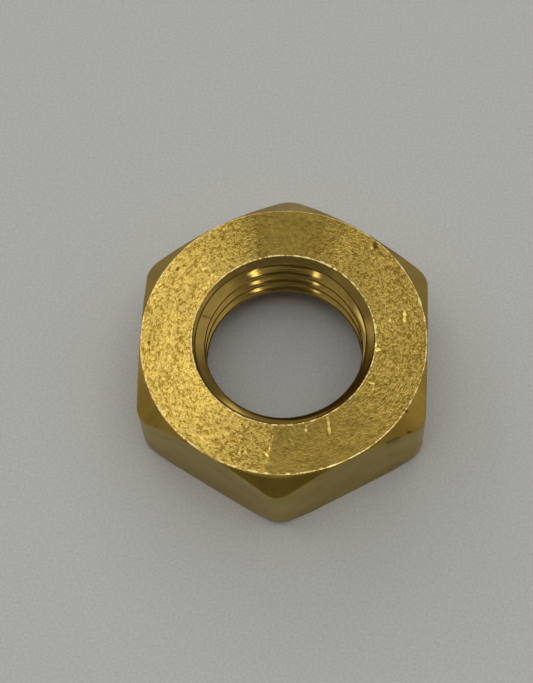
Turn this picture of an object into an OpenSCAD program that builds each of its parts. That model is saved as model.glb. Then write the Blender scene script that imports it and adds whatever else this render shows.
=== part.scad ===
// Hexagonal pipe nut (backnut) turned from drawn hexagon bar.
// One solid piece, lying flat on its lower face, +Z up along the thread axis.
// Two of the six flats face +X and -X; two corners point at +Y and -Y.
// The bore is at the thread's minor diameter: the fine thread itself is not cut here.

/* [Hexagon] */
// Width across the flats
across_flats = 20.8; // [19:0.1:23]
// Distance between the upper and the lower face
thickness = 7.4; // [6.5:0.1:9]
// Radius of the six upright corners of the drawn bar
corner_r = 1.6; // [0.6:0.1:3]

/* [Chamfers] */
// How much less than the width across the flats the upper face's diameter is
upper_relief = 0.05; // [0.05:0.05:1.5]
// How much more than the width across the flats the lower face's diameter is
lower_excess = 1.0; // [0.1:0.1:1.3]
// Angle of both chamfers below the plane of their face
chamfer_angle = 43; // [15:1:45]

/* [Bore] */
// Minor diameter of the thread, which is the bore's wall
bore_d = 11.445; // [11:0.005:12]
// Diameter of the countersink where it meets the upper face
upper_countersink_d = 13.3; // [12.4:0.1:14.2]
// Diameter of the deeper countersink where it meets the lower face
lower_countersink_d = 16.6; // [14:0.1:17]
// Angle of the countersinks' walls from the bore axis
countersink_angle = 45; // [40:1:60]

/* [Finish] */
// Colour of the metal
metal = "darkgoldenrod"; // ["darkgoldenrod", "goldenrod", "peru"]

/* [Hidden] */
$fn = 96;

apothem = across_flats / 2;
// distance from the axis to the centre of a corner arc
arc_centre = (apothem - corner_r) / cos(30);
// the arcs overrun the flats by this much, so that each meets them at a clean edge
overrun = 0.003;
// distance from the axis to the line through a corner arc's two tangent points
tangent_line = arc_centre + corner_r * cos(30);
rise = tan(chamfer_angle);
upper_r = (across_flats - upper_relief) / 2;
lower_r = (across_flats + lower_excess) / 2;
// radius that clears every corner, or where the two cones nearly meet
reach = min(apothem / cos(30) + 1,
            (thickness / rise + upper_r + lower_r) / 2 - 0.05);
bore_r = bore_d / 2;
upper_sink = (upper_countersink_d - bore_d) / 2 / tan(countersink_angle);
lower_sink = (lower_countersink_d - bore_d) / 2 / tan(countersink_angle);

// What is taken off one sharp corner to leave its arc, for a corner on +X
module corner_waste(length) {
    difference() {
        translate([tangent_line, -corner_r, -1])
            cube([apothem, 2 * corner_r, length + 2]);
        translate([arc_centre, 0, -2])
            cylinder(r = corner_r + overrun, h = length + 4);
    }
}

// Drawn bar: a regular hexagon with rounded corners, longer than the nut
module rounded_bar(length) {
    difference() {
        rotate([0, 0, 30])
            cylinder(r = apothem / cos(30), h = length, $fn = 6);
        for (k = [0 : 5])
            rotate([0, 0, 60 * k + 30])
                corner_waste(length);
    }
}

// Turned envelope: a disc coned off above and below, which leaves the round faces
module turned_envelope() {
    rotate_extrude()
        polygon([
            [0, 0],
            [lower_r, 0],
            [reach, (reach - lower_r) * rise],
            [reach, thickness - (reach - upper_r) * rise],
            [upper_r, thickness],
            [0, thickness]
        ]);
}

// Bore with a countersink at each end, as one turned cutter
module bore_cutter() {
    over = 1;
    t = tan(countersink_angle);
    rotate_extrude()
        polygon([
            [0, -over],
            [bore_r + (lower_sink + over) * t, -over],
            [bore_r, lower_sink],
            [bore_r, thickness - upper_sink],
            [bore_r + (upper_sink + over) * t, thickness + over],
            [0, thickness + over]
        ]);
}

module hex_nut() {
    color(metal)
        difference() {
            intersection() {
                translate([0, 0, -2]) rounded_bar(thickness + 4);
                turned_envelope();
            }
            bore_cutter();
        }
}

hex_nut();
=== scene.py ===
"""Brass pipe nut: the detailed visual mesh, its finishes, the floor, the light and the camera.

Lengths in the mesh code are millimetres in the frame of the CAD model: the origin at the
centre of the lower face, +Z along the thread, two flats facing +X and -X.
"""
import math

import bpy
import numpy as np
from mathutils import Euler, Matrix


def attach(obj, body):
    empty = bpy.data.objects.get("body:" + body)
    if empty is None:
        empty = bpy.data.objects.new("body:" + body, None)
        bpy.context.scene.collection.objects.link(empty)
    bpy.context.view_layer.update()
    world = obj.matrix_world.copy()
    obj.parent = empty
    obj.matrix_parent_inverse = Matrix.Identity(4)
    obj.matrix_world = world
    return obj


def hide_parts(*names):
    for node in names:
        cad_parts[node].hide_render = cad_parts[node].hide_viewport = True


MM = 0.001

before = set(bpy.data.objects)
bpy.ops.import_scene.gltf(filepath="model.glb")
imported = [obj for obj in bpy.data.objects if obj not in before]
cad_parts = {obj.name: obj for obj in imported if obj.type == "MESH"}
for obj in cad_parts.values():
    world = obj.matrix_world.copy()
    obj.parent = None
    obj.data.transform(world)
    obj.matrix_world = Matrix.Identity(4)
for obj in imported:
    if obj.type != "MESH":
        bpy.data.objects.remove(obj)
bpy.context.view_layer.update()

# ---------------------------------------------------------------------------
# Sizes, the same as in the CAD model, and the thread that is cut only here
# ---------------------------------------------------------------------------
APOTHEM = 10.4
CORNER_R = 1.6
ARC_CENTRE = (APOTHEM - CORNER_R) / math.cos(math.radians(30))
TOP = 7.4              # highest point allowed: the tips of the burrs
FACE_Z = 7.37          # the turned upper face lies just under the burrs
FACE_R = 10.375
LOWER_R = 10.9
RISE = math.tan(math.radians(43))
BORE_R = 5.7225
MOUTH_R = 6.65
LOWER_MOUTH_R = 8.3

PITCH = 1.337
FLANK = math.tan(math.radians(27.5))
CREST_HALF = 0.11
ROOT_R = 0.1836
CREST_Z = 5.829        # height of one crest on the +Y side of the bore

NF = 864               # columns on the upper face and its two edges
NC = NF // 2           # columns everywhere else

rng = np.random.default_rng(904)


# ---------------------------------------------------------------------------
# Small helpers
# ---------------------------------------------------------------------------
def outline(theta):
    """Distance from the axis to the drawn hexagon with rounded corners."""
    step = math.radians(60)
    d = np.mod(theta - math.radians(30) + step / 2, step) - step / 2
    tangent = math.atan2(CORNER_R * 0.5, ARC_CENTRE + CORNER_R * math.cos(math.radians(30)))
    flat = APOTHEM / np.cos(math.radians(30) - np.abs(d))
    arc = ARC_CENTRE * np.cos(d) + np.sqrt(np.maximum(
        CORNER_R ** 2 - (ARC_CENTRE * np.sin(d)) ** 2, 0))
    return np.where(np.abs(d) < tangent, arc, flat)


def smooth_max(a, b, k):
    return 0.5 * (a + b + np.sqrt((a - b) ** 2 + k * k))


def thread_radius(theta, z):
    """Radius of the bare thread form: rounded V grooves between narrow flat crests."""
    crest = CREST_Z + PITCH * (theta - math.pi / 2) / (2 * math.pi)
    x = np.abs(np.mod(z - crest + PITCH / 2, PITCH) - PITCH / 2)
    flank = BORE_R + smooth_max((x - CREST_HALF) / FLANK, 0 * x, 0.05)
    apex = BORE_R + (PITCH / 2 - CREST_HALF) / FLANK
    centre = apex - ROOT_R / math.sin(math.radians(27.5))
    y = PITCH / 2 - x
    arc = centre + np.sqrt(np.maximum(ROOT_R ** 2 - y ** 2, 0))
    return np.where(y < ROOT_R * math.cos(math.radians(27.5)), arc, flank)


def sinks(z):
    """Radius of the upper and the lower countersink at a height."""
    return np.maximum(MOUTH_R - (FACE_Z - z), LOWER_MOUTH_R - z)


def bore_radius(theta, z):
    return smooth_max(thread_radius(theta, z), sinks(z), 0.06)


def soft_field(n_t, n_r, size_t, size_r, len_t, len_r, band=0.0):
    """Smooth random field of unit spread, closed round the ring.

    With band above 0 the broad swells are taken out, which leaves a tighter grain."""
    white = rng.standard_normal((n_t, 2 * n_r))
    kt = 2 * math.pi * np.fft.fftfreq(n_t, size_t / n_t)[:, None]
    kr = 2 * math.pi * np.fft.fftfreq(2 * n_r, size_r / n_r)[None, :]
    q = (kt * len_t) ** 2 + (kr * len_r) ** 2
    f = np.exp(-0.5 * q)
    if band > 0:
        f = f * (1 - np.exp(-0.5 * q * band * band))
    out = np.fft.ifft2(np.fft.fft2(white) * f).real[:, :n_r]
    return (out - out.mean()) / out.std()


def ring_noise(n, length, radius, power=1.0):
    """One random curve round a circle, of unit spread."""
    k = 2 * math.pi * np.fft.fftfreq(n, 2 * math.pi * radius / n)
    f = np.fft.ifft(np.fft.fft(rng.standard_normal(n)) * np.exp(-0.5 * (k * length) ** 2)).real
    return (f - f.mean()) / f.std()


def bump_at(theta, centre_deg, width_deg):
    d = (np.degrees(theta) - centre_deg + 180) % 360 - 180
    return np.exp(-0.5 * (d / width_deg) ** 2)


# ---------------------------------------------------------------------------
# The outer profile: countersink lip, face, chamfer, flat, lower chamfer,
# lower face, lower countersink lip, with every edge slightly broken
# ---------------------------------------------------------------------------
LIP = 0.30


def outer_profile(theta):
    """Rounded profiles for all columns, and the arc length of each sharp corner."""
    n = len(theta)
    R = outline(theta)
    z2 = FACE_Z - (R - FACE_R) * RISE
    low = R > LOWER_R
    z3 = np.where(low, (R - LOWER_R) * RISE, 0.0)
    r4 = np.minimum(R, LOWER_R)
    one = np.ones(n)
    pts = np.stack([
        np.stack([(MOUTH_R - LIP) * one, (FACE_Z - LIP) * one], -1),
        np.stack([MOUTH_R * one, FACE_Z * one], -1),
        np.stack([FACE_R * one, FACE_Z * one], -1),
        np.stack([R, z2], -1),
        np.stack([R, z3], -1),
        np.stack([r4, 0 * one], -1),
        np.stack([LOWER_MOUTH_R * one, 0 * one], -1),
        np.stack([(LOWER_MOUTH_R - LIP) * one, LIP * one], -1)], 1)
    seg = np.linalg.norm(np.diff(pts, axis=1), axis=2)
    s = np.concatenate([np.zeros((n, 1)), np.cumsum(seg, 1)], 1)
    return pts, s


def round_profile(pts, s, at, half):
    """Point of each column's profile at arc length `at`, its corners rounded over +-half."""
    m = 33
    off = np.linspace(-1, 1, m)
    out = np.zeros((len(at), 2))
    for i in range(len(at)):
        q = np.clip(at[i] + off * half[i], 0, s[i, -1])
        out[i, 0] = np.interp(q, s[i], pts[i, :, 0]).mean()
        out[i, 1] = np.interp(q, s[i], pts[i, :, 1]).mean()
    return out


# ---------------------------------------------------------------------------
# The upper face: relief, burrs, nicks and scratches
# ---------------------------------------------------------------------------
# Marks in millimetres: x, y, half length, half width, depth, direction in degrees.
# A negative depth is a raised fleck. In the colour, raised flecks are painted bright as a painted glint, and dents
# are darkened with painted shade.
MARKS = [
    (6.82, -0.66, 0.17, 0.11, -0.028, 10),        # bead on the lip
    (7.36, -0.74, 0.14, 0.09, 0.022, 20),
    (8.70, 2.06, 0.42, 0.075, -0.026, 91),
    (6.73, 4.07, 0.09, 0.07, -0.016, 120),
    (7.32, 4.01, 0.10, 0.07, -0.016, 120),
    (7.65, 1.70, 0.10, 0.08, -0.018, 100),
    (8.04, 0.69, 0.09, 0.08, -0.016, 90),
    (9.24, 2.23, 0.10, 0.07, -0.016, 100),
    (3.50, -6.62, 0.62, 0.06, -0.024, -81),       # scratch from the lip
    (-2.68, -8.73, 0.24, 0.07, -0.020, 90),
    (-2.32, -8.79, 0.10, 0.09, -0.018, 90),
    (-0.83, -8.89, 0.22, 0.08, -0.022, -42),
    (1.90, -6.69, 0.09, 0.08, -0.018, 90),
    (1.91, -6.99, 0.09, 0.08, -0.018, 90),
    (0.92, -7.82, 0.36, 0.05, -0.010, -60),
    (-0.53, -7.95, 0.60, 0.05, -0.014, 80),       # where the coarser half starts
    (6.45, 7.74, 0.26, 0.13, 0.040, 104),         # notch reaching the outer edge
    (-8.00, 5.33, 0.16, 0.09, 0.026, 62),
    (-9.71, -0.66, 0.16, 0.09, 0.024, 100),
    (8.90, -5.27, 0.14, 0.09, 0.030, -30),
    (6.37, -3.22, 0.22, 0.055, -0.014, -18),
    (6.56, -3.60, 0.30, 0.055, -0.014, -97),
    (6.99, -5.12, 0.22, 0.05, -0.012, 90),
    (9.30, -0.50, 0.60, 0.05, 0.008, 172),
    (-9.45, 3.90, 0.12, 0.08, -0.026, 65),        # flecks on the rim
    (-9.58, 3.57, 0.08, 0.07, -0.022, 70),
    (-9.24, 4.07, 0.12, 0.06, -0.022, 60),
    (-5.92, 3.84, 0.12, 0.08, -0.024, 40),        # and by the lip
    (-5.65, 4.26, 0.10, 0.08, -0.026, 50),
    (-5.46, 4.83, 0.14, 0.07, -0.022, 60),
    (-5.24, 4.76, 0.10, 0.07, -0.026, 45),
    (-6.15, 5.30, 0.10, 0.07, -0.022, 80),
    (-6.33, 5.70, 0.08, 0.07, -0.020, 80),
]

# Nicks away from the face, darkened with painted shade: two ends in millimetres, half width and depth.
NICKS = [
    ((7.68, -7.61, 6.96), (8.55, -7.12, 6.68), 0.07, 0.04),     # along the chamfer's edge
    ((9.15, -6.63, 6.50), (9.35, -6.50, 6.43), 0.06, 0.04),
    ((9.68, -6.23, 6.31), (9.86, -6.08, 6.27), 0.06, 0.04),
    ((-6.02, 1.97, 6.54), (-5.42, 1.97, 6.12), 0.06, 0.02),     # across one groove
]

# How strongly the face is crinkled, by direction in degrees. One half was left coarser by
# the facing cut, with a clean start at 265.6 degrees.
CRINKLE = [(0, 0.66), (30, 0.64), (60, 0.56), (75, 0.36), (90, 0.18), (104, 0.34), (122, 0.80),
           (145, 0.98), (200, 1.0), (240, 0.95), (264.4, 0.72), (266.6, 0.30), (285, 0.24),
           (310, 0.32), (335, 0.50), (360, 0.66)]
# Painted light: a brightness by direction in degrees that scales the face's colour, highest on the left where the
# face catches the lights, lower on the right, at the top and at the bottom.
FACE_PAINTED_LIGHT = [(0, 0.54), (15, 0.59), (30, 0.54), (60, 0.53), (75, 0.575), (90, 0.62), (100, 0.575),
         (110, 0.56), (120, 0.60), (135, 0.71), (150, 0.84), (180, 0.91), (200, 1.0), (220, 1.0),
         (240, 0.80), (252, 0.60), (264, 0.51), (268, 0.49), (285, 0.515), (300, 0.54), (330, 0.62),
         (345, 0.545), (360, 0.54)]


def face_relief(theta, r):
    """Height of the turned face above its plane, and how worn each place is, from 0 in
    the creases to 1 on the crests, for a grid of columns and rows."""
    n_t, n_r = NF, 96
    r0, r1 = 6.3, 10.7
    size_t, size_r = 2 * math.pi * 8.5, r1 - r0
    rr = r0 + (np.arange(n_r) + 0.5) * (r1 - r0) / n_r
    ang = theta[:, None]
    worm = soft_field(n_t, n_r, size_t, size_r, 0.17, 0.095, 2.0)
    knots = soft_field(n_t, n_r, size_t, size_r, 0.12, 0.10, 2.0)
    swell = soft_field(n_t, n_r, size_t, size_r, 0.9, 0.5)
    strength = np.interp(np.degrees(ang), [a for a, _ in CRINKLE], [b for _, b in CRINKLE])
    crest = 0.7 * np.clip(np.abs(worm) / 1.2, 0, 1) ** 0.8 + 0.3 * np.clip(0.5 + 0.45 * knots, 0, 1)
    h = (0.013 * (crest - 0.55) + 0.0018 * knots) * strength + 0.0015 * swell
    j = np.clip((r - rr[0]) / (rr[1] - rr[0]), 0, n_r - 1.001)
    j0 = j.astype(int)
    t = j - j0
    rows = np.arange(len(theta))[:, None]

    def at_rows(f):
        return f[rows, j0] * (1 - t) + f[rows, j0 + 1] * t

    return at_rows(h), at_rows(crest)


def marks_height(x, y):
    h = np.zeros_like(x)
    for mx, my, hl, hw, depth, deg in MARKS:
        c, sn = math.cos(math.radians(deg)), math.sin(math.radians(deg))
        u = (x - mx) * c + (y - my) * sn
        v = -(x - mx) * sn + (y - my) * c
        along = np.exp(-0.5 * (u / hl) ** 4)
        h -= depth * along * (np.exp(-0.5 * (v / hw) ** 2) - 0.35 * np.exp(-0.5 * ((np.abs(v) - 2.2 * hw) / hw) ** 2))
    return h


def nicks_weight(points):
    """How deep in a nick each point is, from 0 to 1, and the push towards the axis."""
    weight, push = np.zeros(len(points)), np.zeros(len(points))
    for a, b, hw, depth in NICKS:
        a, b = np.array(a), np.array(b)
        t = np.clip((points - a) @ (b - a) / ((b - a) @ (b - a)), 0, 1)
        d = np.linalg.norm(points - a - t[:, None] * (b - a), axis=1)
        w = np.exp(-0.5 * (d / hw) ** 2)
        weight = np.maximum(weight, w)
        push = np.maximum(push, depth * w)
    return weight, push


# ---------------------------------------------------------------------------
# The mesh
# ---------------------------------------------------------------------------
def build_nut():
    fine = 2 * math.pi * np.arange(NF) / NF
    coarse = fine[::2]
    verts, faces, mats = [], [], []

    def add_ring(theta, r, z):
        start = sum(len(v) for v in verts)
        verts.append(np.stack([r * np.cos(theta), r * np.sin(theta), z], -1))
        return np.arange(start, start + len(theta))

    def band(a, b, mat):
        """Quads between two rings; seen from outside, ring b lies to the outer/lower side."""
        n = len(a)
        for i in range(n):
            k = (i + 1) % n
            faces.append((int(a[i]), int(b[i]), int(b[k]), int(a[k])))
            mats.append(mat)

    def stitch(a, b, mat, fine_first):
        """Between a ring of NF points and one of NC points."""
        n = NC
        for i in range(n):
            k = (i + 1) % n
            if fine_first:
                f0, f1, f2 = int(a[2 * i]), int(a[2 * i + 1]), int(a[(2 * i + 2) % NF])
                c0, c1 = int(b[i]), int(b[k])
                faces.extend([(f0, c0, f1), (f1, c0, c1), (f1, c1, f2)])
            else:
                c0, c1 = int(a[i]), int(a[k])
                f0, f1, f2 = int(b[2 * i]), int(b[2 * i + 1]), int(b[(2 * i + 2) % NF])
                faces.extend([(c0, f0, f1), (c0, f1, c1), (c1, f1, f2)])
            mats.extend([mat] * 3)

    # --- fine part: lip of the countersink, face, start of the chamfer
    pts, s = outer_profile(fine)
    R = outline(fine)
    gap = s[:, 3] - s[:, 2]                       # chamfer length, small at the flats' middles
    rows = []
    for d in (-0.16, -0.10, -0.06, -0.03, 0.0, 0.03, 0.06, 0.10):
        rows.append((s[:, 1] + d, 0))
    inner, outer = 0.15, FACE_R - MOUTH_R - 0.15
    n_face = 38
    for j in range(n_face):
        rows.append((s[:, 1] + inner + (outer - inner) * j / (n_face - 1), 0))
    for d in (-0.10, -0.06, -0.03, 0.0):
        rows.append((s[:, 2] + d, 0))
    for d in (0.03, 0.06, 0.10):
        rows.append((s[:, 2] + d * np.minimum(1, 0.45 * gap / 0.10), 0 if d < 0.05 else 1))

    # the edge is rounded more where the drawn flats nearly reach the turned face
    middle = 0.11 * np.clip(1 - gap / 0.3, 0, 1)
    grid = []
    for n, (at, _) in enumerate(rows):
        half = np.full(NF, 0.05) if n < 8 + n_face // 2 else np.maximum(0.05, middle)
        grid.append(round_profile(pts, s, at, half))
    grid = np.stack(grid, 1)                       # column, row, (r, z)
    r, z = grid[..., 0].copy(), grid[..., 1].copy()

    # relief on the flat part only, fading out over the two edges
    th = np.broadcast_to(fine[:, None], r.shape)
    at = np.stack([a for a, _ in rows], 1)
    on_face = np.clip((at - s[:, 1:2]) / 0.08, 0, 1) * np.clip((s[:, 2:3] - at) / 0.08, 0, 1)
    x, y = r * np.cos(th), r * np.sin(th)
    relief, wear_sheen_and_shade = face_relief(fine, r)
    marks = marks_height(x, y) * np.clip((at - s[:, 1:2]) / 0.05 + 1, 0, 1)
    z = z + relief * on_face + marks
    # raised marks push the colour towards bright, a painted glint, and dents towards dark, a painted shade, on top of
    # the real wear
    wear_sheen_and_shade = np.clip(wear_sheen_and_shade + 60 * marks, -1, 2.5)

    # burr thrown up along the mouth of the countersink
    a = ring_noise(NF, 0.10, MOUTH_R) + 0.7 * ring_noise(NF, 0.45, MOUTH_R)
    lip = 0.008 + 0.012 * np.clip(a, 0, 2.2)
    lip = lip * (0.6 + 0.9 * bump_at(fine, 84, 22) + 0.5 * bump_at(fine, 190, 60)
                 + 0.5 * bump_at(fine, 253, 12))
    lip = np.minimum(lip, 0.03)
    w = np.exp(-0.5 * ((at - s[:, 1:2] - 0.015) / 0.030) ** 2)
    z = z + lip[:, None] * w
    r = r - 0.5 * lip[:, None] * np.exp(-0.5 * ((at - s[:, 1:2] + 0.03) / 0.03) ** 2)
    # and a finer one along the outer edge of the face
    b = ring_noise(NF, 0.12, FACE_R) + 0.6 * ring_noise(NF, 0.8, FACE_R)
    rim = 0.005 + 0.010 * np.clip(b, 0, 2.2)
    rim = rim * (0.5 + 0.9 * bump_at(fine, 252, 14) + 0.5 * bump_at(fine, 200, 40))
    w = np.exp(-0.5 * ((at - s[:, 2:3] + 0.015) / 0.030) ** 2)
    z = z + np.minimum(rim, 0.03)[:, None] * w
    lean = 0.075 * bump_at(fine, 264, 13) + 0.03 * bump_at(fine, 225, 20)
    r = r + lean[:, None] * np.exp(-0.5 * ((at - s[:, 2:3] - 0.01) / 0.05) ** 2)
    z = np.minimum(z, TOP)
    r = np.minimum(r, R[:, None])
    # below the mouth, the grooves of the thread run out into the countersink
    under = at < s[:, 1:2] - 0.02
    r = np.where(under, smooth_max(r, thread_radius(th, z) - 0.0, 0.01), r)

    rings = [add_ring(fine, r[:, j], z[:, j]) for j in range(r.shape[1])]
    for j in range(len(rings) - 1):
        mat = 3 if j < 3 else (0 if rows[j + 1][1] == 0 else 1)
        band(rings[j], rings[j + 1], mat)

    # --- coarse part: chamfer, flats, lower chamfer, lower face, lower lip
    pts, s = outer_profile(coarse)
    gap = s[:, 3] - s[:, 2]
    tall = s[:, 4] - s[:, 3]
    low_gap = s[:, 5] - s[:, 4]
    rows = []
    start = s[:, 2] + 0.10 * np.minimum(1, 0.45 * gap / 0.10)
    near = 0.12 * np.minimum(1, 0.45 * gap / 0.12)
    stop = s[:, 3] - near
    for j in range(1, 7):
        rows.append((start + (stop - start) * j / 6, 1,
                     np.maximum(np.minimum(0.05 + 0.03 * j / 6, 0.5 * gap + 0.01), middle[::2])))
    for d in (-0.5, 0.0, 0.5, 1.0):
        off = np.where(d < 0, d * near, d * 0.12)
        rows.append((s[:, 3] + off, 1 if d < 0.5 else 2,
                     np.maximum(np.minimum(0.08, 0.5 * gap + 0.01), middle[::2])))
    a0, a1 = s[:, 3] + 0.12, s[:, 4] - 0.14
    for j in range(1, 6):
        rows.append((a0 + (a1 - a0) * j / 5, 2, np.full(NC, 0.08)))
    b0, b1 = s[:, 4] - 0.14, s[:, 5] + 0.14
    for j in range(1, 12):
        mat = 2 if j < 4 else (1 if j < 8 else 4)
        rows.append((b0 + (b1 - b0) * j / 11, mat, np.full(NC, 0.07)))
    c0, c1 = s[:, 5] + 0.14, s[:, 6] - 0.10
    for j in range(1, 6):
        rows.append((c0 + (c1 - c0) * j / 5, 4, np.full(NC, 0.05)))
    for d in (-0.04, 0.0, 0.04, 0.10):
        rows.append((s[:, 6] + d, 4, np.full(NC, 0.04)))
    prev = rings[-1]
    th = coarse
    for n, (at, mat, half) in enumerate(rows):
        p = round_profile(pts, s, at, half)
        rr = p[:, 0]
        zz = np.maximum(p[:, 1], 0)
        under = at > s[:, 6] + 0.02
        rr = np.where(under, smooth_max(rr, thread_radius(th, zz), 0.01), rr)
        ring = add_ring(th, rr, zz)
        if n == 0:
            stitch(prev, ring, mat, True)
        else:
            band(prev, ring, mat)
        prev = ring
    low_ring, low_z = prev, zz

    # --- the bore: rows follow the helix of the thread, clamped between the two lips
    m = 16
    top_at = grid[::2, 0, 1]                       # height of the first fine ring
    z_top, z_low = float(top_at.mean()), float(low_z.mean())
    crest = CREST_Z + PITCH * (coarse - math.pi / 2) / (2 * math.pi)
    k0 = int(math.floor((z_low - crest.max()) / PITCH * m)) - 1
    k1 = int(math.ceil((z_top - crest.min()) / PITCH * m)) + 1
    ks = np.arange(k0, k1 + 1)
    zz = crest[:, None] + ks[None, :] * PITCH / m   # column, row
    eps = 0.4 * PITCH / m
    inside = (zz > z_low + eps) & (zz < z_top - eps)
    # vertex number of every inside point; points outside fall on the two lips
    start = sum(len(v) for v in verts)
    ids = np.full(zz.shape, -1)
    ids[inside] = start + np.arange(int(inside.sum()))
    tt = np.broadcast_to(coarse[:, None], zz.shape)
    rr = bore_radius(tt, zz)
    verts.append(np.stack([rr[inside] * np.cos(tt[inside]), rr[inside] * np.sin(tt[inside]), zz[inside]], -1))
    low_side = zz <= z_low + eps
    top_ring = rings[0]
    for i in range(NC):
        ids[i, low_side[i]] = low_ring[i]
        ids[i, ~inside[i] & ~low_side[i]] = top_ring[2 * i]
    n_k = len(ks)
    for i in range(NC):
        k = (i + 1) % NC
        shift = 0 if k else m                       # one turn further the same row is one pitch up
        left, right = ids[i], ids[k]
        mid = int(top_ring[2 * i + 1])
        for j in range(-m, n_k - 1 + m):
            def at_(col, c, q):
                if q < 0:
                    return int(low_ring[c])
                if q >= n_k:
                    return int(top_ring[2 * c])
                return int(col[q])
            a0_, a1_ = at_(left, i, j), at_(left, i, j + 1)
            b0_, b1_ = at_(right, k, j + shift), at_(right, k, j + 1 + shift)
            poly = []
            for v in (a0_, b0_, b1_, a1_):
                if v not in poly:
                    poly.append(v)
            if len(poly) < 3:
                continue
            if int(top_ring[2 * i]) in poly and int(top_ring[(2 * i + 2) % NF]) in poly:
                poly.insert((poly.index(int(top_ring[(2 * i + 2) % NF]))) + 1, mid)
            faces.append(tuple(reversed(poly)))
            mats.append(3)
    points = np.concatenate(verts)
    wear_and_painted_light = np.full(len(points), 0.6)
    wear_and_painted_light[:wear_sheen_and_shade.size] = wear_sheen_and_shade.T.ravel()
    r = np.hypot(points[:, 0], points[:, 1])
    nick, push = nicks_weight(points)
    points[:, :2] *= (1 - np.where(r > 8, push, -push) / r)[:, None]
    # where the countersink's cone is still there between the thread's grooves
    reach = r - (MOUTH_R - FACE_Z + points[:, 2])
    cone_finish_and_shade = np.clip(1.5 - np.abs(reach) / 0.04, 0, 1) * (points[:, 2] > 6.0)
    # weaker at the back: the colour darkening this drives is painted shade, kept mostly to the sides
    cone_finish_and_shade = cone_finish_and_shade * (1 - 0.9 * bump_at(np.arctan2(points[:, 1], points[:, 0]), 90, 28))
    # stored for the materials: wear with the painted glints and shade of the marks, painted shade in the pits, the
    # painted glint, and the cone's finish with its painted shade
    wear_and_painted_light = {"wear_sheen_and_shade": np.clip(wear_and_painted_light, 0, 1.2), "painted_pit_shade": np.maximum(np.clip(-wear_and_painted_light, 0, None), nick),
            "glint": np.clip(wear_and_painted_light - 1.15, 0, 1), "cone_finish_and_shade": cone_finish_and_shade}
    return points, faces, mats, wear_and_painted_light


def make_nut():
    verts, faces, mats, wear_and_painted_light = build_nut()
    mesh = bpy.data.meshes.new("pipe_nut_mesh")
    mesh.from_pydata((verts * MM).tolist(), [], faces)
    mesh.polygons.foreach_set("material_index", mats)
    mesh.polygons.foreach_set("use_smooth", [True] * len(faces))
    for name, values in wear_and_painted_light.items():
        mesh.attributes.new(name, "FLOAT", "POINT").data.foreach_set("value", values)
    mesh.validate()
    mesh.update()
    nut = bpy.data.objects.new("pipe_nut", mesh)
    bpy.context.scene.collection.objects.link(nut)
    return nut


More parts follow.
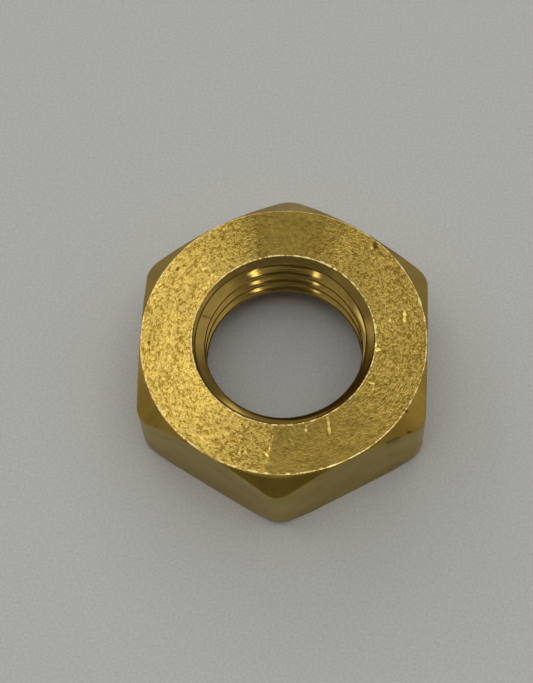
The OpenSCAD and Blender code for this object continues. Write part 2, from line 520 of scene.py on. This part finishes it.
# ---------------------------------------------------------------------------
# Materials
# ---------------------------------------------------------------------------
class Nodes:
    """Short names for building a node tree."""

    def __init__(self, tree):
        self.tree = tree
        self.tree.nodes.clear()

    def add(self, kind, **values):
        node = self.tree.nodes.new(kind)
        for key, value in values.items():
            if hasattr(node, key):
                setattr(node, key, value)
            else:
                node.inputs[key].default_value = value
        return node

    def link(self, a, b):
        self.tree.links.new(a, b)

    def math(self, op, a, b=None, clamp=False):
        node = self.tree.nodes.new("ShaderNodeMath")
        node.operation = op
        node.use_clamp = clamp
        for n, v in enumerate((a, b)):
            if v is None:
                continue
            if isinstance(v, (int, float)):
                node.inputs[n].default_value = v
            else:
                self.link(v, node.inputs[n])
        return node.outputs[0]

    def ramp(self, value, stops):
        node = self.tree.nodes.new("ShaderNodeValToRGB")
        el = node.color_ramp.elements
        while len(el) > len(stops):
            el.remove(el[-1])
        while len(el) < len(stops):
            el.new(1.0)
        for e, (pos, col) in zip(el, stops):
            e.position = pos
            e.color = (col, col, col, 1) if isinstance(col, (int, float)) else (*col, 1)
        self.link(value, node.inputs[0])
        return node.outputs[0]

    def scale(self, colour, factor):
        node = self.tree.nodes.new("ShaderNodeVectorMath")
        node.operation = "SCALE"
        self.link(colour, node.inputs[0])
        self.link(factor, node.inputs["Scale"])
        return node.outputs[0]

    def noise(self, vector, scale, detail=2.0, rough=0.5, distortion=0.0):
        node = self.tree.nodes.new("ShaderNodeTexNoise")
        node.inputs["Scale"].default_value = scale
        node.inputs["Detail"].default_value = detail
        node.inputs["Roughness"].default_value = rough
        node.inputs["Distortion"].default_value = distortion
        self.link(vector, node.inputs["Vector"])
        return node.outputs["Fac"]

    def mix(self, fac, a, b):
        node = self.tree.nodes.new("ShaderNodeMix")
        node.data_type = "RGBA"
        for sock, v in ((node.inputs[0], fac), (node.inputs[6], a), (node.inputs[7], b)):
            if isinstance(v, (int, float)):
                sock.default_value = v
            elif isinstance(v, tuple):
                sock.default_value = (*v, 1)
            else:
                self.link(v, sock)
        return node.outputs[2]

    def stored(self, name):
        """A value stored on the mesh's vertices."""
        node = self.tree.nodes.new("ShaderNodeAttribute")
        node.attribute_name = name
        return node.outputs["Fac"]

    def polar(self, around, radial, up):
        """Object position unrolled round the axis, without a seam.

        around, radial and up are cells per millimetre at radius 8.5 mm."""
        co = self.tree.nodes.new("ShaderNodeTexCoord")
        sep = self.tree.nodes.new("ShaderNodeSeparateXYZ")
        self.link(co.outputs["Object"], sep.inputs[0])
        x, y, z = sep.outputs
        rr = self.math("SQRT", self.math("ADD", self.math("MULTIPLY", x, x), self.math("MULTIPLY", y, y)))
        rr = self.math("MAXIMUM", rr, 1e-5)
        k = around * 8.5
        cx = self.math("MULTIPLY", self.math("DIVIDE", x, rr), k)
        cy = self.math("MULTIPLY", self.math("DIVIDE", y, rr), k)
        third = self.math("ADD", self.math("MULTIPLY", rr, radial * 1000), self.math("MULTIPLY", z, up * 1000))
        comb = self.tree.nodes.new("ShaderNodeCombineXYZ")
        for s, d in ((cx, 0), (cy, 1), (third, 2)):
            self.link(s, comb.inputs[d])
        return comb.outputs[0], (x, y, z, rr)

    def bump(self, height, distance, strength=1.0, normal=None):
        node = self.tree.nodes.new("ShaderNodeBump")
        node.inputs["Strength"].default_value = strength
        node.inputs["Distance"].default_value = distance
        self.link(height, node.inputs["Height"])
        if normal is not None:
            self.link(normal, node.inputs["Normal"])
        return node.outputs[0]


def metal(name, rough, anisotropic=0.0, spin=False):
    mat = bpy.data.materials.new(name)
    mat.use_nodes = True
    n = Nodes(mat.node_tree)
    out = n.add("ShaderNodeOutputMaterial")
    bsdf = n.add("ShaderNodeBsdfPrincipled")
    n.link(bsdf.outputs[0], out.inputs[0])
    bsdf.inputs["Metallic"].default_value = 1.0
    bsdf.inputs["Roughness"].default_value = rough
    bsdf.inputs["Anisotropic"].default_value = anisotropic
    if spin:
        tan = n.add("ShaderNodeTangent")
        tan.direction_type = "RADIAL"
        tan.axis = "Z"
        n.link(tan.outputs[0], bsdf.inputs["Tangent"])
        bsdf.inputs["Anisotropic Rotation"].default_value = 0.25   # lay runs round, gloss spreads across it
    return mat, n, bsdf


BRASS = (0.64, 0.44, 0.10)
BRASS_DARK = (0.50, 0.335, 0.075)
BRASS_PALE = (0.72, 0.52, 0.14)


def face_material():
    mat, n, bsdf = metal("turned_face", 0.24, 0.3, True)
    fine, (x, y, z, rr) = n.polar(2.4, 4.4, 0)
    finer, _ = n.polar(5.0, 9.0, 0)
    streak, _ = n.polar(0.6, 9.0, 0)
    wide, _ = n.polar(0.6, 0.9, 0)
    along, _ = n.polar(2.4, 0.8, 0)
    rays, _ = n.polar(4.5, 1.3, 0)
    # direction round the face, 0 to 1
    turn = n.math("DIVIDE", n.math("ADD", n.math("ARCTAN2", n.math("MULTIPLY", y, -1.0),
                                                 n.math("MULTIPLY", x, -1.0)), math.pi), 2 * math.pi)
    coarse = n.ramp(turn, [(a / 360, b) for a, b in CRINKLE])
    h1 = n.noise(fine, 1.0, 2.0, 0.6, 0.9)
    h2 = n.noise(finer, 1.0, 1.0, 0.6, 0.6)
    h3 = n.noise(streak, 1.0, 2.0, 0.5)
    h4 = n.noise(wide, 1.0, 2.0, 0.5)
    beads = n.noise(along, 1.0, 3.0, 0.65)
    h5 = n.noise(rays, 1.0, 2.0, 0.6, 0.4)
    # creases hold a darker tarnish, crests are worn bright
    specks = n.math("ADD", n.math("MULTIPLY", n.math("SUBTRACT", h2, 0.5), 3.2),
                    n.math("MULTIPLY", n.math("SUBTRACT", h1, 0.5), 1.8))
    wear_and_painted_light = n.math("ADD", n.ramp(n.stored("wear_sheen_and_shade"), [(0.12, 0.0), (0.80, 1.0)]), specks, clamp=True)
    col = n.mix(wear_and_painted_light, (0.47, 0.27, 0.035), (1.0, 0.71, 0.17))
    plain = n.mix(n.ramp(h5, [(0.35, 0.0), (0.68, 1.0)]), (0.76, 0.51, 0.105), (0.98, 0.675, 0.15))
    plain = n.mix(n.ramp(h2, [(0.35, 0.0), (0.75, 0.6)]), plain, (0.74, 0.49, 0.10))
    col = n.mix(n.ramp(coarse, [(0.1, 0.20), (0.9, 1.0)]), plain, col)
    # painted light: the face's colour is scaled by direction, times a random tone from broad noise
    painted_light_and_tone = n.ramp(turn, [(a / 360, b) for a, b in FACE_PAINTED_LIGHT])
    painted_light_and_tone = n.math("MULTIPLY", painted_light_and_tone, n.ramp(h4, [(0.3, 0.89), (0.7, 1.09)]))
    col = n.scale(col, painted_light_and_tone)

    # the lip and the outer edge get a thin pale line of uneven width: partly burnished wear, partly a painted
    # highlight of the edges
    def line(radius, width, share):
        off = n.math("ABSOLUTE", n.math("SUBTRACT", rr, radius * MM))
        half = n.math("MULTIPLY", n.math("ADD", n.math("MULTIPLY", beads, 9.0), -3.95), width * MM)
        half = n.math("MULTIPLY", half, n.ramp(turn, [(a / 360, b) for a, b in share]))
        return n.math("ADD", n.math("DIVIDE", n.math("SUBTRACT", half, off), 0.03 * MM), 0.5, clamp=True)

    mouth = line(MOUTH_R + 0.018, 0.070, [(0, 0.7), (40, 0.8), (62, 1.0), (98, 0.9), (118, 0.55),
                                          (150, 0.5), (200, 0.65), (260, 0.6), (320, 0.5), (360, 0.7)])
    rim = line(FACE_R - 0.045, 0.042, [(0, 1.0), (48, 0.7), (64, 0.2), (116, 0.2), (135, 0.7), (200, 0.9),
                                       (240, 1.0), (360, 1.0)])
    edge = n.math("MAXIMUM", mouth, rim)
    col = n.mix(edge, col, (1.0, 0.80, 0.36))
    # painted glint on the raised flecks and the streak
    col = n.mix(n.ramp(n.stored("glint"), [(0.0, 0.0), (0.4, 0.95)]), col, (1.0, 0.76, 0.19))
    # painted shade in the dents and nicks
    col = n.mix(n.ramp(n.stored("painted_pit_shade"), [(0.05, 0.0), (0.6, 0.85)]), col, (0.10, 0.06, 0.015))
    n.link(col, bsdf.inputs["Base Color"])
    rough = n.ramp(coarse, [(0.1, 0.27), (0.5, 0.25), (1.0, 0.28)])
    n.link(n.mix(edge, rough, (0.38, 0.38, 0.38)), bsdf.inputs["Roughness"])
    h = n.math("MULTIPLY", n.math("ADD", n.math("MULTIPLY", h1, 0.6), n.math("MULTIPLY", h2, 0.6)),
               n.ramp(coarse, [(0.15, 0.06), (0.35, 0.16), (0.6, 0.55), (1.0, 1.0)]))
    h = n.math("ADD", h, n.math("MULTIPLY", h5, 0.06))
    h = n.math("ADD", h, n.math("MULTIPLY", h3, 0.03))
    n.link(n.bump(h, 1.3e-4), bsdf.inputs["Normal"])
    return mat


def chamfer_material():
    mat, n, bsdf = metal("turned_chamfer", 0.26, 0.4, True)
    streak, _ = n.polar(0.4, 8.0, 6.0)
    wide, _ = n.polar(0.5, 0.8, 0.8)
    h = n.noise(streak, 1.0, 2.0, 0.5)
    w = n.noise(wide, 1.0, 4.0, 0.65)
    col = n.mix(n.ramp(w, [(0.32, 0.0), (0.68, 1.0)]), (0.31, 0.19, 0.035), (0.47, 0.315, 0.062))
    # painted shade in the nicks
    n.link(n.mix(n.ramp(n.stored("painted_pit_shade"), [(0.1, 0.0), (0.7, 0.9)]), col, (0.09, 0.055, 0.015)),
           bsdf.inputs["Base Color"])
    n.link(n.ramp(w, [(0.3, 0.30), (0.7, 0.22)]), bsdf.inputs["Roughness"])
    n.link(n.bump(h, 0.5e-5), bsdf.inputs["Normal"])
    return mat


def flat_material():
    mat, n, bsdf = metal("drawn_flat", 0.33)
    streak, _ = n.polar(5.0, 1.5, 0.35)
    wide, _ = n.polar(0.5, 0.3, 0.5)
    h = n.noise(streak, 1.0, 2.0, 0.5)
    w = n.noise(wide, 1.0, 3.0, 0.55)
    col = n.mix(n.ramp(w, [(0.3, 0.0), (0.75, 1.0)]), (0.355, 0.247, 0.027), (0.445, 0.305, 0.036))
    # painted shade in the nicks
    n.link(n.mix(n.ramp(n.stored("painted_pit_shade"), [(0.1, 0.0), (0.7, 0.9)]), col, (0.09, 0.055, 0.015)),
           bsdf.inputs["Base Color"])
    n.link(n.ramp(w, [(0.3, 0.38), (0.7, 0.30)]), bsdf.inputs["Roughness"])
    n.link(n.bump(h, 0.25e-5), bsdf.inputs["Normal"])
    return mat


def bore_material():
    mat, n, bsdf = metal("threaded_bore", 0.09)
    streak, _ = n.polar(0.5, 6.0, 9.0)
    wide, _ = n.polar(0.6, 0.8, 0.8)
    h = n.noise(streak, 1.0, 2.0, 0.5)
    w = n.noise(wide, 1.0, 3.0, 0.55)
    col = n.mix(n.ramp(w, [(0.3, 0.0), (0.75, 1.0)]), (0.42, 0.28, 0.065), (0.54, 0.365, 0.085))
    # the cone of the countersink is rougher than the cut thread, and its colour is darkened with painted shade
    cone_finish_and_shade = n.stored("cone_finish_and_shade")
    col = n.scale(col, n.ramp(cone_finish_and_shade, [(0.0, 1.0), (1.0, 0.66)]))
    # painted shade in the dents and nicks
    n.link(n.mix(n.ramp(n.stored("painted_pit_shade"), [(0.1, 0.0), (0.7, 0.6)]), col, (0.10, 0.06, 0.015)),
           bsdf.inputs["Base Color"])
    n.link(n.math("ADD", n.ramp(w, [(0.3, 0.12), (0.7, 0.07)]), n.math("MULTIPLY", cone_finish_and_shade, 0.10)),
           bsdf.inputs["Roughness"])
    n.link(n.bump(h, 0.3e-5), bsdf.inputs["Normal"])
    return mat


def under_material():
    mat, n, bsdf = metal("turned_underside", 0.30, 0.35, True)
    streak, _ = n.polar(0.6, 9.0, 0)
    wide, _ = n.polar(0.4, 0.5, 0)
    h = n.noise(streak, 1.0, 2.0, 0.5)
    w = n.noise(wide, 1.0, 3.0, 0.55)
    n.link(n.mix(n.ramp(w, [(0.3, 0.0), (0.75, 1.0)]), BRASS_DARK, BRASS), bsdf.inputs["Base Color"])
    n.link(n.ramp(w, [(0.3, 0.34), (0.7, 0.26)]), bsdf.inputs["Roughness"])
    n.link(n.bump(h, 0.8e-5), bsdf.inputs["Normal"])
    return mat


# ---------------------------------------------------------------------------
# Floor, light, camera
# ---------------------------------------------------------------------------
def make_floor():
    mesh = bpy.data.meshes.new("floor_mesh")
    s, z = 2.5, -2e-6
    mesh.from_pydata([(-s, -s, z), (s, -s, z), (s, s, z), (-s, s, z)], [], [(0, 1, 2, 3)])
    floor = bpy.data.objects.new("floor", mesh)
    bpy.context.scene.collection.objects.link(floor)
    mat = bpy.data.materials.new("floor_paper")
    mat.use_nodes = True
    n = Nodes(mat.node_tree)
    out = n.add("ShaderNodeOutputMaterial")
    bsdf = n.add("ShaderNodeBsdfPrincipled")
    n.link(bsdf.outputs[0], out.inputs[0])
    bsdf.inputs["Roughness"].default_value = 0.75
    bsdf.inputs["Specular IOR Level"].default_value = 0.25
    co = n.add("ShaderNodeTexCoord")
    h = n.noise(co.outputs["Object"], 5000.0, 3.0, 0.6)
    n.link(n.mix(n.ramp(h, [(0.3, 0.0), (0.7, 1.0)]), (0.47, 0.47, 0.453), (0.56, 0.56, 0.54)),
           bsdf.inputs["Base Color"])
    n.link(n.bump(h, 1e-5), bsdf.inputs["Normal"])
    mesh.materials.append(mat)
    return floor


# Soft boxes of the studio, on the plan of its dome: 0, 0 is straight up, +u is to the
# right, +v to the back, and radius 1 is the horizon. Centre, half width and half depth,
# width of the soft edge, and strength.
LIGHTS = [
    (0.03, 0.01, 0.28, 0.10, 0.06, 1.45),         # long strip overhead
    (0.02, -0.17, 0.19, 0.09, 0.03, 2.80),        # box in front of it
    (-0.02, 0.22, 0.24, 0.16, 0.12, 0.22),        # dim fill between the strips
    (-0.12, 0.60, 0.34, 0.13, 0.14, 1.50),        # strip behind
    (-0.40, 0.28, 0.10, 0.32, 0.12, 1.25),        # strip on the left
    (-0.88, 0.34, 0.28, 0.22, 0.24, 0.80),        # window on the far left
    (-0.78, -0.22, 0.24, 0.22, 0.20, 0.14),       # reflector on the far left
    (-0.38, -0.28, 0.19, 0.20, 0.12, 0.28),       # and a nearer one
    (0.24, 0.30, 0.10, 0.20, 0.12, 0.80),         # small box on the right
    (0.62, 0.08, 0.34, 0.30, 0.26, 0.40),         # reflector on the far right
    (0.74, -0.30, 0.24, 0.18, 0.20, 0.14),        # and its lower part
    (0.32, -0.41, 0.12, 0.09, 0.08, 0.30),        # small reflector in front of it
]
# A dark flag between the overhead box and the front of the nut.
FLAG = (0.018, -0.36, 0.160, 0.195, 0.02)


def make_world():
    world = bpy.data.worlds.new("studio")
    bpy.context.scene.world = world
    world.use_nodes = True
    n = Nodes(world.node_tree)
    out = n.add("ShaderNodeOutputWorld")
    bg = n.add("ShaderNodeBackground")
    n.link(bg.outputs[0], out.inputs[0])
    co = n.add("ShaderNodeTexCoord")
    sep = n.add("ShaderNodeSeparateXYZ")
    n.link(co.outputs["Generated"], sep.inputs[0])
    x, y, z = sep.outputs
    d = n.math("MAXIMUM", n.math("ADD", z, 1.0), 0.05)
    u, v = n.math("DIVIDE", x, d), n.math("DIVIDE", y, d)

    def side(value, centre, half, edge):
        node = n.add("ShaderNodeMapRange")
        node.interpolation_type = "SMOOTHSTEP"
        n.link(n.math("ABSOLUTE", n.math("SUBTRACT", value, centre)), node.inputs["Value"])
        node.inputs["From Min"].default_value = half - edge / 2
        node.inputs["From Max"].default_value = half + edge / 2
        node.inputs["To Min"].default_value = 1.0
        node.inputs["To Max"].default_value = 0.0
        return node.outputs[0]

    def box(cu, cv, su, sv, edge):
        return n.math("MULTIPLY", side(u, cu, su, edge), side(v, cv, sv, edge))

    # walls of the studio: dark overhead, brighter towards the horizon
    t = n.math("ADD", n.math("MULTIPLY", u, u), n.math("MULTIPLY", v, v))
    total = n.math("MULTIPLY", t, 0.24, clamp=True)
    for *place, power in LIGHTS:
        total = n.math("ADD", total, n.math("MULTIPLY", box(*place), power))
    flag = n.math("SUBTRACT", 1.0, n.math("MULTIPLY", box(*FLAG), 0.9))
    n.link(n.math("ADD", n.math("MULTIPLY", total, flag), 0.06), bg.inputs["Strength"])
    bg.inputs["Color"].default_value = (1.0, 1.0, 0.97, 1)
    return world


def make_camera():
    data = bpy.data.cameras.new("camera")
    cam = bpy.data.objects.new("camera", data)
    bpy.context.scene.collection.objects.link(cam)
    cam.location = (0.00566916, -0.05245154, 0.12906577)
    cam.rotation_euler = Euler([math.radians(a) for a in (23.30023, 2.06846, 2.7183)], "XYZ")
    data.lens = 96.748
    data.sensor_width = 36.0
    data.sensor_fit = "AUTO"
    data.clip_start = 0.01
    data.clip_end = 10.0
    data.dof.use_dof = False
    bpy.context.scene.camera = cam
    return cam


nut = make_nut()
for m in (face_material(), chamfer_material(), flat_material(), bore_material(), under_material()):
    nut.data.materials.append(m)
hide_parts("hex_nut")
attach(nut, "root")

make_floor()
make_world()
make_camera()
bpy.context.scene.view_settings.view_transform = "Standard"
bpy.context.scene.cycles.use_denoising = True
